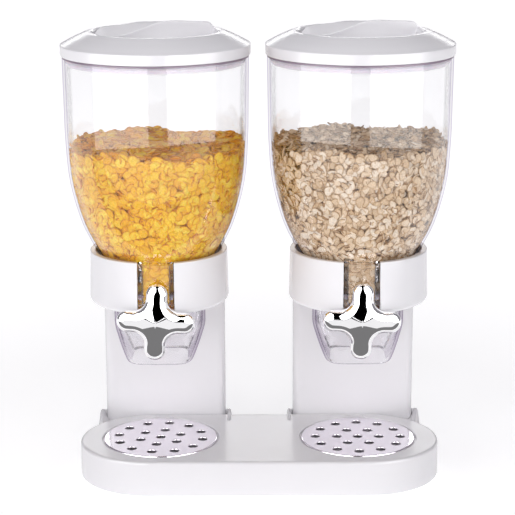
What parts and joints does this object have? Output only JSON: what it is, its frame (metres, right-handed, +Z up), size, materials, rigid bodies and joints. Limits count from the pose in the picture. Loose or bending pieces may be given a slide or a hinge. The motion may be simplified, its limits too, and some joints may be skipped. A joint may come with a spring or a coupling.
{
  "type": "cereal dispenser",
  "caption": "Twin dry-food dispenser: clear canisters with lids stand in a white stand and drop portions through turning paddles onto a base with grates.",
  "frame": {"origin": "middle of the footprint on the table, at the bottom of the feet", "axes": "+Z up, +X to the right when the knobs face the viewer, -Y towards the viewer; height is the longest extent and depth the shortest"},
  "size_m": [0.32, 0.1722, 0.386],
  "materials": {
    "white_plastic": "gloss white",
    "clear_canister": "clear moulded plastic, polished",
    "clear_chamber": "clear moulded plastic, polished",
    "seal_silicone": "soft translucent white",
    "bush_plastic": "satin white",
    "paddle_silicone": "soft translucent",
    "knob_chrome": "mirror chrome",
    "grate_steel": "polished",
    "shaft_steel": "satin",
    "screw_steel": "plain",
    "foot_rubber": "matte"
  },
  "bodies": {
    "stand": {"base_bottom_cover": "white_plastic", "base_shell": "white_plastic", "column_back_left": "white_plastic", "column_back_right": "white_plastic", "column_left": "white_plastic", "column_right": "white_plastic", "column_screw_left_lower": "screw_steel", "column_screw_left_upper": "screw_steel", "column_screw_right_lower": "screw_steel", "column_screw_right_upper": "screw_steel", "foot_front_left": "foot_rubber", "foot_front_middle": "foot_rubber", "foot_front_right": "foot_rubber", "foot_rear_left": "foot_rubber", "foot_rear_middle_left": "foot_rubber", "foot_rear_middle_right": "foot_rubber", "foot_rear_right": "foot_rubber"},
    "canister_left_body": {"canister_left": "clear_canister", "chamber_left": "clear_chamber", "chamber_seal_left": "seal_silicone", "front_bush_left": "bush_plastic", "rear_bush_left": "bush_plastic"},
    "lid_left_body": {"lid_left": "white_plastic", "lid_seal_left": "seal_silicone"},
    "rotor_left_body": {"shaft_left": "shaft_steel", "shaft_clip_left": "shaft_steel", "paddle_left": "paddle_silicone", "knob_left": "knob_chrome"},
    "grate_left_body": {"grate_left": "grate_steel"},
    "canister_right_body": {"canister_right": "clear_canister", "chamber_right": "clear_chamber", "chamber_seal_right": "seal_silicone", "front_bush_right": "bush_plastic", "rear_bush_right": "bush_plastic"},
    "lid_right_body": {"lid_right": "white_plastic", "lid_seal_right": "seal_silicone"},
    "rotor_right_body": {"shaft_right": "shaft_steel", "shaft_clip_right": "shaft_steel", "paddle_right": "paddle_silicone", "knob_right": "knob_chrome"},
    "grate_right_body": {"grate_right": "grate_steel"}
  },
  "joints": [
    {"name": "canister_left_lift", "type": "slide", "parent": "stand", "child": "canister_left_body", "axis": [0, 0, 1], "range_m": [0, 0.11]},
    {"name": "lid_left_lift", "type": "slide", "parent": "canister_left_body", "child": "lid_left_body", "axis": [0, 0, 1], "range_m": [0, 0.06]},
    {"name": "knob_left_turn", "type": "hinge", "parent": "canister_left_body", "child": "rotor_left_body", "pos_m": [-0.0829, -0.009, 0.1513], "axis": [0, -1, 0], "continuous": true},
    {"name": "grate_left_lift", "type": "slide", "parent": "stand", "child": "grate_left_body", "axis": [0, 0, 1], "range_m": [0, 0.05]},
    {"name": "canister_right_lift", "type": "slide", "parent": "stand", "child": "canister_right_body", "axis": [0, 0, 1], "range_m": [0, 0.11]},
    {"name": "lid_right_lift", "type": "slide", "parent": "canister_right_body", "child": "lid_right_body", "axis": [0, 0, 1], "range_m": [0, 0.06]},
    {"name": "knob_right_turn", "type": "hinge", "parent": "canister_right_body", "child": "rotor_right_body", "pos_m": [0.0829, -0.009, 0.1513], "axis": [0, -1, 0], "continuous": true},
    {"name": "grate_right_lift", "type": "slide", "parent": "stand", "child": "grate_right_body", "axis": [0, 0, 1], "range_m": [0, 0.05]}
  ]
}
